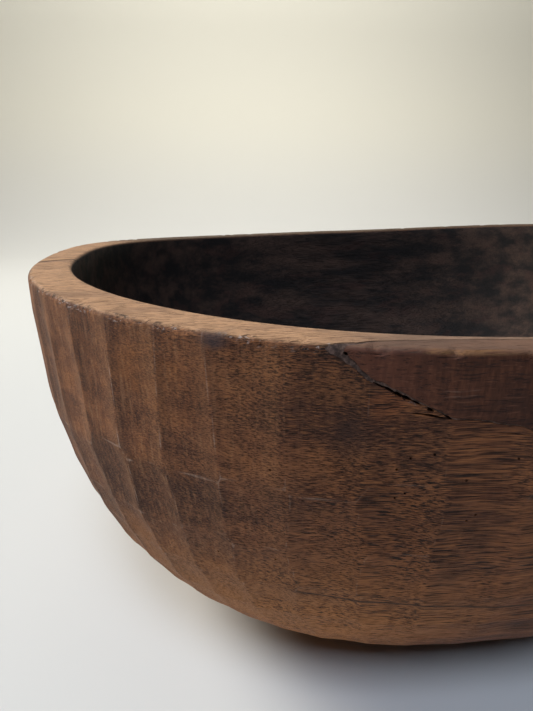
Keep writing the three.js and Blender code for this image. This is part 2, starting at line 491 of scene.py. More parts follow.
class Bench:
    """A node tree in the making."""

    def __init__(self, tree):
        self.tree = tree

    def node(self, kind, settings=None, sockets=None, output=0):
        """Adds a node: its settings first, then the values or links of its sockets."""
        made = self.tree.nodes.new(kind)
        for name, value in (settings or {}).items():
            setattr(made, name, value)
        for name, value in (sockets or {}).items():
            if isinstance(value, Wire):
                self.tree.links.new(value.socket, made.inputs[name])
            else:
                made.inputs[name].default_value = value
        return Wire(self, made.outputs[output]) if made.outputs else made

    def math(self, operation, *values):
        return self.node("ShaderNodeMath", {"operation": operation}, dict(enumerate(values)))

    def vector(self, operation, *values):
        """Vector Math; the result is a number for a dot product or a length."""
        number = operation in ("DOT_PRODUCT", "LENGTH", "DISTANCE")
        sockets = dict(enumerate(values))
        if operation == "SCALE":
            sockets = {0: values[0], "Scale": values[1]}
        return self.node("ShaderNodeVectorMath", {"operation": operation}, sockets, 1 if number else 0)

    def ease(self, value, start, stop, low=0.0, high=1.0):
        """A soft step from low to high while the value goes from start to stop."""
        sockets = {"Value": value, "From Min": start, "From Max": stop, "To Min": low, "To Max": high}
        return self.node("ShaderNodeMapRange", {"interpolation_type": "SMOOTHSTEP"}, sockets)


print("bench ready")

# %% [markdown]
# ## Hewing, stroke by stroke
# Each stroke leaves a shallow scoop, and the wood that is left is what no stroke took away.
# So the depth at a point is the deepest of all scoops there, which is a rule that nodes can follow.
# Cutting 800 scoops one by one with booleans would be slow, and it would leave every ridge knife sharp.
# A Repeat Zone runs once for each stroke: it works out that stroke's scoop at every point and keeps
# the deepest. It also keeps the runner-up, because a ridge is where the two deepest scoops meet,
# and how far those two strokes lean apart, because a sharp ridge wears sooner than a flat one.

# %% The tree of the adze work
tree = bpy.data.node_groups.new("adze_work", "GeometryNodeTree")
sockets_in = {
    "Skin": "NodeSocketGeometry", "Strokes": "NodeSocketObject", "Stroke count": "NodeSocketInt",
    "Lengthwise": "NodeSocketFloat", "Chip depth": "NodeSocketFloat", "Chip size": "NodeSocketFloat",
    "Finish": "NodeSocketMaterial",
}
socket_id = {
    name: tree.interface.new_socket(name, in_out="INPUT", socket_type=kind).identifier
    for name, kind in sockets_in.items()
}
tree.interface.new_socket("Hewn", in_out="OUTPUT", socket_type="NodeSocketGeometry")
adze = Bench(tree)
given = adze.node("NodeGroupInput")


def kept(name, kind="FLOAT"):
    return adze.node("GeometryNodeInputNamedAttribute", {"data_type": kind}, {"Name": name})


def store(geometry, name, value):
    settings = {"data_type": "FLOAT", "domain": "POINT"}
    return adze.node("GeometryNodeStoreNamedAttribute", settings,
                     {"Geometry": geometry, "Name": name, "Value": value})


print("adze_work takes", ", ".join(sockets_in))

# %% A zone that repeats for every stroke
UNTOUCHED = 1.0  # a depth that no stroke reaches

plain = given.out("Skin")
for name, value in {"deepest": UNTOUCHED, "second": 2 * UNTOUCHED, "owner": 0.0, "rival": 0.0}.items():
    plain = store(plain, name, value)
start = tree.nodes.new("GeometryNodeRepeatInput")
stop = tree.nodes.new("GeometryNodeRepeatOutput")
start.pair_with_output(stop)
tree.links.new(given.out("Stroke count").socket, start.inputs["Iterations"])
tree.links.new(plain.socket, start.inputs["Geometry"])
turn = Wire(adze, start.outputs["Iteration"])
stroke_points = adze.node("GeometryNodeObjectInfo", {}, {"Object": given.out("Strokes")}, "Geometry")


def of_stroke(value, kind, index=turn):
    return adze.node("GeometryNodeSampleIndex", {"data_type": kind, "domain": "POINT"},
                     {"Geometry": stroke_points, "Value": value, "Index": index})


def stroke_value(name, kind="FLOAT", index=turn):
    return of_stroke(kept(name, kind), kind, index)


def stroke_place(index=turn):
    return of_stroke(adze.node("GeometryNodeInputPosition"), "FLOAT_VECTOR", index)


print("strokes are read by their number")

# %% The scoop of one stroke
REACH = 0.05  # a stroke counts only this near its middle
SAME_WAY = 0.4  # and only where the skin faces about the same way

facing = stroke_value("facing", "FLOAT_VECTOR")
sideways = stroke_value("sideways", "FLOAT_VECTOR")
upward = adze.vector("CROSS_PRODUCT", facing, sideways)
offset = adze.vector("SUBTRACT", kept("smooth", "FLOAT_VECTOR"), stroke_place())
across = adze.vector("DOT_PRODUCT", offset, sideways) / stroke_value("half_width")
lengthwise = adze.vector("DOT_PRODUCT", offset, upward) / stroke_value("half_height")
bowed = across * across + given.out("Lengthwise") * lengthwise * lengthwise - 1
above_flat = adze.vector("DOT_PRODUCT", offset, facing) * (1 - kept("inside"))
scoop = bowed * stroke_value("scoop") - above_flat
push = kept("push", "FLOAT_VECTOR")
turned_away = adze.vector("DOT_PRODUCT", push, facing).math("LESS_THAN", SAME_WAY)
too_far = adze.vector("LENGTH", offset).math("GREATER_THAN", REACH)
scoop = scoop + turned_away.math("MAXIMUM", too_far) * UNTOUCHED
print("a stroke reaches", REACH, "m")

# %% Keep the two deepest scoops
RIDGE_WEAR = 0.0004  # how much a ridge between two scoops is rounded

deeper = scoop.math("LESS_THAN", kept("deepest"))
closer = scoop.math("LESS_THAN", kept("second"))
rival = deeper * kept("owner") + (1 - deeper) * (closer * turn + (1 - closer) * kept("rival"))
runner_up = kept("second").math("MINIMUM", scoop.math("MAXIMUM", kept("deepest")))
ranked = store(Wire(adze, start.outputs["Geometry"]), "rival", rival)
ranked = store(ranked, "second", runner_up)
ranked = store(ranked, "owner", deeper * turn + (1 - deeper) * kept("owner"))
ranked = store(ranked, "deepest", kept("deepest").math("SMOOTH_MIN", scoop, RIDGE_WEAR))
tree.links.new(ranked.socket, stop.inputs["Geometry"])
print("ridges are rounded over", RIDGE_WEAR, "m")

# %% [markdown]
# After the last stroke, each point knows its owner, the stroke that shaped it, and the rival beside it.
# From these it keeps how far the next ridge is, how sharp that ridge is, the tone of its flat,
# and where it lies between the left and the right side of the stroke. The finishes read all of this.

# %% What each point keeps
SCOOP_LEAN = 0.08  # two scoops meet at an angle even where their strokes face the same way
TONE_BLEND = 0.006  # two tones run into each other over this distance

worked = Wire(adze, stop.outputs["Geometry"])
touched = kept("deepest").math("LESS_THAN", UNTOUCHED / 2)
owner = kept("owner")
both = (owner, kept("rival"))
apart = adze.vector("DISTANCE", *[stroke_value("facing", "FLOAT_VECTOR", index) for index in both])
ridge = (kept("second") - kept("deepest")) / (apart + SCOOP_LEAN)
worked = store(worked, "ridge", ridge * touched + (1 - touched) * UNTOUCHED)
worked = store(worked, "sharp", apart * touched)
own_share = adze.ease(kept("ridge"), 0.0, TONE_BLEND, 0.5, 1.0)
own_tone, rival_tone = (stroke_value("tone", "FLOAT", index) for index in both)
worked = store(worked, "tone", (own_tone * own_share + rival_tone * (1 - own_share)) * touched)
from_middle = adze.vector("SUBTRACT", kept("smooth", "FLOAT_VECTOR"), stroke_place(owner))
beside = adze.vector("DOT_PRODUCT", from_middle, stroke_value("sideways", "FLOAT_VECTOR", owner))
worked = store(worked, "beside", beside / stroke_value("half_width", "FLOAT", owner) * touched)
print("points keep ridge, sharp, tone and beside")

# %% [markdown]
# Now the points move: along their push by the depth of the scoop, but never so far out that a ridge stands
# proud. The worn outer edge of the rim also loses small chips, which come from a noise with a fixed place.

# %% Press the strokes in and chip the edge
WORN_RIDGE = 0.0003  # a ridge stands at most this far above the smooth side
CHIPPED = (0.56, 0.74)  # the noise at which a chip starts, and where it is deepest
CHIP_LEAN = (0.0, 0.0, 0.7)  # chips are struck from above as much as from the side

depth = kept("deepest").math("MINIMUM", WORN_RIDGE) * touched * kept("take")
pressed = adze.vector("SCALE", push, depth)
worked = adze.node("GeometryNodeSetPosition", {}, {"Geometry": worked, "Offset": pressed})
noise_sockets = {
    "Vector": kept("smooth", "FLOAT_VECTOR"), "Scale": 1 / given.out("Chip size"), "Detail": 2.0,
}
chip_noise = adze.node("ShaderNodeTexNoise", {"noise_dimensions": "3D"}, noise_sockets)
chips = adze.ease(chip_noise, *CHIPPED) * kept("edge") ** 2.0
struck = adze.vector("ADD", push, CHIP_LEAN)
bite = adze.vector("SCALE", struck, chips * given.out("Chip depth") * -1)
worked = adze.node("GeometryNodeSetPosition", {}, {"Geometry": worked, "Offset": bite})
worked = adze.node("GeometryNodeRealizeInstances", {}, {"Geometry": worked})
worked = adze.node("GeometryNodeSetMaterial", {}, {"Geometry": worked, "Material": given.out("Finish")})
adze.node("NodeGroupOutput", {}, {"Hewn": worked})
print("adze_work has", len(tree.nodes), "nodes")

# %% [markdown]
# The strokes go into the tree as a cloud of points, each with its facing, its size and its tone.
# Once the tree has run, the result is copied into a plain mesh and centred, and the helpers are removed.

# %% Hew the bowl
wood_names = ("hewn_hardwood", "patch_hardwood", "grey_filler")
hewn_hardwood, patch_hardwood, grey_filler = (bpy.data.materials.new(name) for name in wood_names)

marks = bpy.data.meshes.new("stroke_marks")
marks.from_pydata(strokes["point"].tolist(), [], [])
for name in ("facing", "sideways", "half_width", "half_height", "scoop", "tone"):
    keep(marks, name, strokes[name])
marks_object = bpy.data.objects.new("stroke_marks", marks)
bowl_object = bpy.data.objects.new("bowl_in_work", skin)
for thing in (marks_object, bowl_object):
    bpy.context.scene.collection.objects.link(thing)

hewing = bowl_object.modifiers.new("adze", "NODES")
hewing.node_group = tree
adze_inputs = {
    "Strokes": marks_object, "Stroke count": len(strokes["scoop"]), "Lengthwise": 0.35,
    "Chip depth": 0.0013, "Chip size": 0.0065, "Finish": hewn_hardwood,
}
for name, value in adze_inputs.items():
    hewing[socket_id[name]] = value


def settled(thing):
    """The plain mesh of an object after its modifiers."""
    depsgraph = bpy.context.evaluated_depsgraph_get()
    return bpy.data.meshes.new_from_object(thing.evaluated_get(depsgraph), depsgraph=depsgraph)


def points_of(mesh):
    points = np.zeros(len(mesh.vertices) * 3, np.float32)
    mesh.vertices.foreach_get("co", points)
    return points.reshape(-1, 3).astype(float)


hewn = settled(bowl_object)
for thing in (marks_object, bowl_object):
    bpy.data.objects.remove(thing)
places = points_of(hewn)
middle = (places.min(0) + places.max(0)) / 2
places = np.maximum(places - (middle[0], middle[1], 0), (-1, -1, 0))
hewn.vertices.foreach_set("co", places.astype(np.float32).ravel())
print("hewn bowl", places.min(0).round(4), places.max(0).round(4))

# %% [markdown]
# ## The repair
# A long dip in the rim was cut clean, and a new piece of wood was shaped to lie in it.
# In the CAD part a large egg scoops that seat, and here only the face of the egg near the rim is needed.
# So each cutter is a slab whose back follows the egg, with the small waves of hand work in it.
# The seat is notched deeper under the tip of the patch, which leaves room for a wedge of filler.
# At the top it reaches further back, so that only a thin strip of the old rim stands behind the patch.

# %% The face of the seat
PATCH_CENTRE, SEAT_OUT, SEAT_UP = -0.020, 0.0175, 0.053
EGG_HALF = np.array((0.288, 0.0365, 0.1004))
EGG_MIDDLE = np.array((PATCH_CENTRE, -RIM_WIDTH / 2 - SEAT_OUT, RIM_HEIGHT + SEAT_UP)) - middle * (1, 1, 0)
NOTCH_DEPTH, NOTCH_ALONG, NOTCH_UP = 0.0017, (-0.080, -0.091), (0.196, 0.207)
STRIP_CUT, STRIP_CUT_SIDES = 0.0011, 0.0021
STRIP_SIDES, STRIP_ENDS, STRIP_UP = (0.005, 0.035), (0.070, 0.060), (0.194, 0.206)
KNIFE_WAVES = [(0.00035, 0.012, 3.1), (0.0003, 0.003, 8.4)]  # height, length and seed


def wander(x, z, size, seed):
    """A smooth uneven value, from about -1 to 1."""
    flat = np.stack([np.ravel(x) / size, np.full(np.size(x), seed), np.ravel(z) / size], -1)
    return np.reshape([noise.noise(Vector(p)) for p in flat], np.shape(x))


def soft(value, start, stop):
    """A soft step from 0 to 1 while the value goes from start to stop."""
    share = np.clip((value - start) / (stop - start), 0, 1)
    return share * share * (3 - 2 * share)


def tip_notch(x, z):
    """How much deeper the seat is notched under the tip of the patch, at the rim."""
    return NOTCH_DEPTH * soft(z, *NOTCH_UP) * soft(x, *NOTCH_ALONG)


def deeper_top(x, z):
    """How much further back the seat reaches at the rim, more at both sides than in the middle."""
    from_middle = np.abs(x - EGG_MIDDLE[0])
    reach = STRIP_CUT + STRIP_CUT_SIDES * soft(from_middle, *STRIP_SIDES)
    return reach * soft(from_middle, *STRIP_ENDS) * soft(z, *STRIP_UP)


def seat_face(x, z):
    """How far back the seat lies, with the waves of the knife."""
    share = 1 - ((x - EGG_MIDDLE[0]) / EGG_HALF[0]) ** 2 - ((z - EGG_MIDDLE[2]) / EGG_HALF[2]) ** 2
    egg = EGG_MIDDLE[1] + EGG_HALF[1] * np.sqrt(np.maximum(share, 0))
    waves = sum(height * wander(x, z, length, seed) for height, length, seed in KNIFE_WAVES)
    return egg + waves + tip_notch(x, z) + deeper_top(x, z)


print("the seat is deepest at y =", round(float(EGG_MIDDLE[1] + EGG_HALF[1]), 4))

# %% [markdown]
# The filler was pressed in before the patch, so it is a thin uneven bed between the two.
# It is thick at the tips of the patch, most of all in the notch, and thin between them.

# %% How thick the filler is
BED_THIN, BED_TIP, BED_TIP_POWER, BED_NOTCH = 0.0005, 0.0008, 1.5, 0.6
BED_TIP_START, BED_TIP_LENGTH = 0.045, 0.03
BED_UNEVEN, BED_WAVE, BED_SEED = 0.00012, 0.005, 1.7


def bed_depth(x, z):
    """How thick the filler is."""
    tip = np.clip((np.abs(x - EGG_MIDDLE[0]) - BED_TIP_START) / BED_TIP_LENGTH, 0, 1)
    uneven = BED_UNEVEN * wander(x, 0 * x, BED_WAVE, BED_SEED)
    return BED_THIN + BED_TIP * tip**BED_TIP_POWER + uneven + BED_NOTCH * tip_notch(x, z)


print("the filler is", BED_THIN / MM, "mm thick, and thicker at the tips")

# %% A slab in front of the seat
SLAB_X, SLAB_Z, SLAB_FRONT = (-0.130, 0.0951, 0.0009), (0.166, 0.2241, 0.0010), -0.225


def slab(back):
    """A closed block in front of the seat, with its back face at back(x, z)."""
    x, z = np.meshgrid(np.arange(*SLAB_X), np.arange(*SLAB_Z), indexing="ij")
    rows, columns = x.shape
    rear = np.stack([x, back(x, z), z], -1).reshape(-1, 3)
    front = rear * (1, 0, 1) + (0, SLAB_FRONT, 0)
    index = np.arange(rows * columns).reshape(rows, columns)
    a, b, c, d = index[:-1, :-1], index[1:, :-1], index[1:, 1:], index[:-1, 1:]
    quads = np.stack([a, d, c, b], -1).reshape(-1, 4)
    rim = np.concatenate([index[:-1, 0], index[-1, :-1], index[:0:-1, -1], index[0, :0:-1]])
    after = np.roll(rim, -1)
    total = rows * columns
    walls = np.stack([rim, after, after + total, rim + total], -1)
    faces = np.concatenate([quads, quads[:, ::-1] + total, walls])
    mesh = bpy.data.meshes.new("slab")
    mesh.from_pydata(np.concatenate([rear, front]).tolist(), [], faces.tolist())
    return mesh


seat_tool = slab(seat_face)
print("the seat is cut by", len(seat_tool.polygons), "faces with", open_edges(seat_tool), "open edges")

# %% [markdown]
# The bowl, the patch and the filler between them are three cuts of the same hewn skin, which keeps the
# adze flutes running on from one piece to the next. The skin is pushed in a little before the filler is
# cut from it, because filler shrinks as it dries.

# %% Cut the three pieces
FIT, SUNK = 0.00013, 0.00025  # the gap between two pieces, and how far the filler has shrunk


def cut(mesh, tool, operation):
    """One boolean cut of a closed mesh by another."""
    things = [bpy.data.objects.new(name, data) for name, data in (("work", mesh), ("tool", tool))]
    for thing in things:
        bpy.context.scene.collection.objects.link(thing)
    knife = things[0].modifiers.new("knife", "BOOLEAN")
    knife.operation = operation
    knife.solver = "MANIFOLD"
    knife.object = things[1]
    result = settled(things[0])
    for thing in things:
        bpy.data.objects.remove(thing)
    return result


def tell(pieces):
    for name, mesh in pieces.items():
        print(name, len(mesh.polygons), "faces,", open_edges(mesh), "open edges")


body = cut(hewn, seat_tool, "DIFFERENCE")
patch = cut(hewn, slab(lambda x, z: seat_face(x, z) - bed_depth(x, z) - FIT), "INTERSECT")
sunk = hewn.copy()
normals = np.zeros(len(sunk.vertices) * 3, np.float32)
hewn.vertices.foreach_get("normal", normals)
sunk_places = places - SUNK * normals.reshape(-1, 3)
sunk.vertices.foreach_set("co", sunk_places.astype(np.float32).ravel())
bed = cut(sunk, slab(lambda x, z: seat_face(x, z) - FIT), "INTERSECT")
bed = cut(bed, slab(lambda x, z: seat_face(x, z) - bed_depth(x, z)), "DIFFERENCE")
tell({"body": body, "patch": patch, "bed": bed})

# %% [markdown]
# ## Checks, worm holes and crumbs
# The old wood has a few thin checks, which are cracks along the grain, and worm holes of about a millimetre.
# A check is cut by a blade with a V-shaped section that tapers at both ends, and a hole by a thin peg.
# Along the seam, grains of filler and wood have crumbled away, each cut by a small pointed tool.
# Tools that are far apart go into one mesh and cut in one go. The crumbs lie close together,
# so every second one is cut first, and the others after them.

CHECKS = [  # three points along the check and its width, in millimetres
    ([(-71.4, -193.6, 184.2), (-65.5, -194.4, 183.6), (-59.6, -195.0, 182.7)], 1.3),
    ([(-44.0, -196.6, 177.2), (-38.0, -197.1, 176.8), (-31.0, -197.4, 176.0)], 0.5),
    ([(-223.5, -34.8, 211.0), (-215.9, -29.3, 211.1), (-206.0, -26.3, 211.0)], 1.5),
]
CHECK_DEPTH, CHECK_TAPER, TOOL_REACH = 0.0030, (0.3, 1, 0.3), 0.002
skin_tree = BVHTree.FromPolygons([Vector(p) for p in places], [tuple(f.vertices) for f in hewn.polygons])


def outward(point):
    """The way out of the wood near a point of the skin."""
    return np.array(skin_tree.find_nearest(Vector(point))[1])


def blade(path, width):
    """Points and faces of a V-shaped blade along a path."""
    path = np.array(path) * MM
    along = unit(np.gradient(path, axis=0))
    outs = unit(np.array([outward(p) for p in path]))
    across = unit(np.cross(along, outs))
    half = width * MM / 2 * (1 + TOOL_REACH / CHECK_DEPTH) * np.array(CHECK_TAPER)[:, None]
    top = path + TOOL_REACH * outs
    points = np.concatenate([top - half * across, top + half * across, path - CHECK_DEPTH * outs])
    faces = []
    for i in (0, 1):
        left, right, deep = i, i + 3, i + 6
        faces += [(left, right, right + 1, left + 1), (right, deep, deep + 1, right + 1),
                  (deep, left, left + 1, deep + 1)]
    return points, faces + [(6, 3, 0), (2, 5, 8)]


blades = [blade(*check) for check in CHECKS]
print(len(blades), "blades,", CHECK_DEPTH / MM, "mm deep")

# %% Pegs for the worm holes
WORM_HOLES = [  # in millimetres
    (-114.6, -180.0, 159.8), (-111.6, -172.6, 116.6), (-73.7, -190.6, 152.1), (-74.4, -191.7, 163.8),
    (-70.7, -191.3, 154.3), (-70.4, -192.7, 168.1), (-63.1, -194.0, 169.8), (-51.4, -194.7, 159.9),
    (-45.7, -193.5, 145.2), (-48.3, -192.8, 142.5), (-35.4, -196.8, 167.7), (-133.3, -161.3, 112.9),
    (96.0, 178.0, 158.0), (61.0, 187.0, 140.0), (172.0, -131.0, 150.0),
]
HOLE_RADIUS, HOLE_DEPTH, HOLE_TAPER = 0.0006, 0.0035, 0.7


def peg(point):
    """Points and faces of a six-sided peg that stands in the wood."""
    point = np.array(point) * MM
    out = unit(outward(point))
    side = unit(np.cross(out, (0.0, 0.0, 1.0)))
    turn = np.radians(np.arange(6) * 60)[:, None]
    loop = HOLE_RADIUS * (np.cos(turn) * side + np.sin(turn) * np.cross(out, side))
    points = np.concatenate([point + TOOL_REACH * out + loop, point - HOLE_DEPTH * out + HOLE_TAPER * loop])
    faces = [(i, (i + 1) % 6, (i + 1) % 6 + 6, i + 6) for i in range(6)]
    return points, faces + [tuple(range(5, -1, -1)), tuple(range(6, 12))]


pegs = [peg(hole) for hole in WORM_HOLES]
print(len(pegs), "pegs,", 2 * HOLE_RADIUS / MM, "mm wide")

# %% Crumbs along the seam
CRUMBS = [  # place along the bowl, height, half length and half width, in millimetres
    (-92.6, 203.4, 1.0, 0.7), (-82.4, 193.7, 2.4, 0.35), (-79.2, 192.2, 2.6, 0.6),
    (-76.2, 190.4, 2.4, 0.9), (-73.6, 189.3, 2.2, 0.95), (-70.6, 187.9, 2.0, 0.6),
    (-66.0, 185.4, 1.5, 0.8), (-60.6, 183.3, 1.8, 0.4),
]
CRUMB_SLOPE, CRUMB_SIDES, CRUMB_UNEVEN, CRUMB_WAVE = math.radians(-27), 7, 0.3, 0.4


def crumb(x, z, half_length, half_width):
    """Points and faces of a tool with two points and an uneven waist that lies in the skin."""
    hit = skin_tree.ray_cast(Vector((x * MM, -1, z * MM)), Vector((0, 1, 0)))
    point, out = np.array(hit[0]), np.array(hit[1])
    along = unit(np.array((math.cos(CRUMB_SLOPE), 0.0, math.sin(CRUMB_SLOPE))))
    along = unit(along - out * np.dot(along, out))
    corner = np.arange(CRUMB_SIDES)
    turn = np.radians(corner * 360 / CRUMB_SIDES)[:, None]
    uneven = 1 + CRUMB_UNEVEN * wander(corner + x, np.zeros(CRUMB_SIDES), CRUMB_WAVE, z)[:, None]
    loop = half_length * np.cos(turn) * along + half_width * np.sin(turn) * np.cross(out, along)
    tips = [point + TOOL_REACH * out, point - CHECK_DEPTH * out]
    faces = [(i, (i + 1) % CRUMB_SIDES, CRUMB_SIDES + tip) for tip in (0, 1) for i in corner.tolist()]
    return np.concatenate([point + MM * uneven * loop, tips]), faces


grains = [crumb(*place) for place in CRUMBS]
print(len(grains), "crumbs with", CRUMB_SIDES, "sides")


# %% Cut them
def tool_box(tools):
    """One mesh of several tools that don't touch each other."""
    all_points, all_faces = [], []
    for points, faces in tools:
        all_faces += [tuple(i + len(all_points) for i in face) for face in faces]
        all_points += points.tolist()
    mesh = bpy.data.meshes.new("tools")
    mesh.from_pydata(all_points, [], all_faces)
    grid = bmesh.new()
    grid.from_mesh(mesh)
    bmesh.ops.recalc_face_normals(grid, faces=grid.faces)
    grid.to_mesh(mesh)
    grid.free()
    return mesh


body = cut(body, tool_box(blades + pegs), "DIFFERENCE")
for first in (0, 1):
    crumb_tools = tool_box(grains[first::2])
    body, patch, bed = (cut(mesh, crumb_tools, "DIFFERENCE") for mesh in (body, patch, bed))
tell({"body": body, "patch": patch, "bed": bed})

# %% [markdown]
# The cuts make new points, so what the skin knew about each place is carried over from its nearest point.
# Each point also keeps how deep it lies in the wood, for the painted shade in holes and checks.

# %% Carry the marks over
CARRIED = ("ridge", "sharp", "beside", "rim", "edge", "inside", "tone")
# painted shade: wood this deep in a hole or check is quite dark
DARK_DEPTH = 0.0012  # wood that lies this deep in a hole is quite dark

nearest = KDTree(len(places))
for index, point in enumerate(places):
    nearest.insert(point, index)
nearest.balance()


def carry(mesh):
    points = points_of(mesh)
    found = [nearest.find(point)[1] for point in points]
    keep(mesh, "deep", [min(skin_tree.find_nearest(Vector(p))[3] / DARK_DEPTH, 1) for p in points])
    for name in CARRIED:
        values = np.zeros(len(hewn.vertices), np.float32)
        hewn.attributes[name].data.foreach_get("value", values)
        keep(mesh, name, values[found])


for mesh in (body, patch, bed):
    carry(mesh)
print("carried", ", ".join(CARRIED))

# %% [markdown]
# Each piece becomes one object on the body of the bowl and stands in for its CAD node.
# What only the hewing needed is dropped, and the finish is added later.

# %% Put the pieces in the frame
CREASE = math.radians(42)  # faces that meet at a larger angle stay sharp
SPARE = ("smooth", "push", "take", "deepest", "second", "owner", "rival")


def finish_piece(name, mesh, material, node):
    """One finished piece on the body of the bowl."""
    for spare in SPARE:
        if spare in mesh.attributes:
            mesh.attributes.remove(mesh.attributes[spare])
    mesh.materials.clear()
    mesh.materials.append(material)
    mesh.shade_smooth()
    mesh.set_sharp_from_angle(angle=CREASE)
    thing = bpy.data.objects.new(name, mesh)
    bpy.context.scene.collection.objects.link(thing)
    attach(thing, "root")
    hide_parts(node)
    return thing


bowl = finish_piece("hewn_bowl", body, hewn_hardwood, "bowl_body")
repair = finish_piece("let_in_patch", patch, patch_hardwood, "rim_patch")
filler = finish_piece("filler_bed", bed, grey_filler, "seam_filler")
print("pieces", [thing.name for thing in (bowl, repair, filler)])

# %% [markdown]
# ## Mixing a finish
# Every finish is built up in layers, as a painter would do it: a ground colour first, and then one stain
# after another, each with a share that says where it lies and how strongly.
# A few helpers on top of the bench keep that readable. Places are in millimetres, because grain is small.


# %% Helpers for the finishes
def tint(red, green, blue):
    """A colour given as a screen shows it, from 0 to 255."""
    linear = [((v / 255 + 0.055) / 1.055) ** 2.4 if v > 10 else v / 255 / 12.92 for v in (red, green, blue)]
    return (*linear, 1.0)


class Finish(Bench):
    """A material in the making. Places are in millimetres."""

    def __init__(self, material):
        material.use_nodes = True
        super().__init__(material.node_tree)
        material.node_tree.nodes.clear()
        self.place = self.vector("SCALE", self.node("ShaderNodeTexCoord", output="Object"), 1000.0)
        self.color = None

    def kept(self, name):
        return self.node("ShaderNodeAttribute", {"attribute_name": name}, output="Fac")

    def noise(self, place, size, detail=2.0, rough=0.5, shift=0.0, output=0):
        """Noise whose blobs are about size millimetres, which may differ along X, Y and Z."""
        size = size if isinstance(size, tuple) else (size,) * 3
        stretched = self.vector("MULTIPLY", place, tuple(1 / s for s in size))
        moved = self.vector("ADD", stretched, (shift, 0.37 * shift, 0.71 * shift))
        sockets = {"Vector": moved, "Scale": 1.0, "Detail": detail, "Roughness": rough}
        return self.node("ShaderNodeTexNoise", {}, sockets, output)

    def waver(self, place, size, reach, shift=0.0):
        """The place, pushed about by a soft noise."""
        cloud = self.noise(place, size, detail=1.0, shift=shift, output=1)
        centred = self.vector("SUBTRACT", cloud, (0.5, 0.5, 0.5))
        return self.vector("ADD", place, self.vector("MULTIPLY", centred, reach))

    def mix(self, share, first, second, blend="MIX"):
        settings = {"data_type": "RGBA", "blend_type": blend, "clamp_factor": True}
        return self.node("ShaderNodeMix", settings, {0: share, 6: first, 7: second}, 2)

    def stain(self, share, color, blend="MIX"):
        """Lays one more colour over the finish."""
        self.color = self.mix(share, self.color, color, blend)

    def axis(self, name):
        return self.node("ShaderNodeSeparateXYZ", {}, {"Vector": self.place}).out(name)

    def near(self, centre, size, inner, place):
        """1 at a spot, fading to 0 at its border; the spot may be longer along one axis."""
        offset = self.vector("SUBTRACT", place, centre)
        share = self.vector("LENGTH", self.vector("MULTIPLY", offset, tuple(1 / s for s in size)))
        return self.ease(share, 1.0, inner)

    def streak(self, distance, reach, core):
        """1 on a line, fading to 0 on both sides of it."""
        return self.ease(distance.math("ABSOLUTE"), reach, core)

    def shine(self, roughness, height, depth, specular):
        """The surface: its colour, its gloss and its fine relief."""
        bump = self.node("ShaderNodeBump", {}, {"Strength": 1.0, "Distance": depth, "Height": height})
        sockets = {"Base Color": self.color, "Roughness": roughness, "Normal": bump,
                   "Specular IOR Level": specular}
        surface = self.node("ShaderNodeBsdfPrincipled", {}, sockets)
        self.node("ShaderNodeOutputMaterial", {}, {"Surface": surface})


print("finishes can be mixed")

# %% [markdown]
# ## The wood of the bowl
# The ground is brown with bands along the grain and clouds of darker and lighter wood.
# Each adze flat has its own tone, because dirt and oil stayed in some flats more than in others.
# The upper front is made darker, and the low left gets painted light from the floor, a lighter golden brown.

# %% Ground of the hardwood
wood = Finish(hewn_hardwood)
wavy = wood.waver(wood.place, 38.0, (0.0, 3.5, 3.5))
curly = wood.waver(wavy, 7.0, (0.0, 0.5, 0.5), shift=4.0)
along, across, up = (wood.axis(name) for name in "XYZ")

bands = wood.noise(wavy, (160.0, 7.0, 7.0), detail=3.0, rough=0.6, shift=2.0)
wood.color = wood.mix(wood.ease(bands, 0.34, 0.68), tint(113, 70, 48), tint(149, 97, 64))
clouds = wood.noise(wood.place, (60.0, 28.0, 28.0), detail=4.0, rough=0.6, shift=9.0)
wood.stain(wood.ease(clouds, 0.44, 0.66, high=0.65), tint(88, 56, 43))
wood.stain(wood.ease(clouds, 0.46, 0.32, high=0.5), tint(160, 102, 60))
mottle = wood.noise(wood.place, 14.0, detail=3.0, rough=0.6, shift=31.0)
tone = wood.kept("tone") + (mottle - 0.5) * 1.6
wood.stain(wood.ease(tone, 0.0, 1.0, high=0.62), tint(58, 38, 33))
wood.stain(wood.ease(tone, -0.2, -1.0, high=0.3), tint(152, 102, 64))
# the upper front and right are made darker
darkened = wood.ease(along, -150.0, -80.0) * wood.ease(up, 60.0, 120.0)
wood.stain(darkened * 0.9, (0.66, 0.62, 0.585, 1), "MULTIPLY")
# painted light: the low side faces the lit floor, so the low left is painted a lighter golden brown
low = wood.ease(up, 130.0, 70.0) * wood.ease(along, -210.0, -140.0, low=0.3) * wood.ease(along, 0.0, -90.0)
wood.stain(low * 0.7, tint(186, 122, 66))
print("ground of", len(wood.tree.nodes), "nodes")

# %% [markdown]
# This is an open-pored wood whose grain runs along the bowl. On the long sides the pores show as dark
# lines, on the slanted parts as short wavy dashes, and at the ends as dots. A pattern in space gives all
# three at once: noise that is stretched along X, read where the surface cuts it.
# One long dark line runs low across the front, a fault in the wood.

# %% Pores and lines of the grain
PORE, LINE, FIBRE = tint(25, 15, 11), tint(24, 15, 11), tint(178, 116, 68)
LINE_HEIGHT, LINE_SLOPE = 89.9, 0.0823

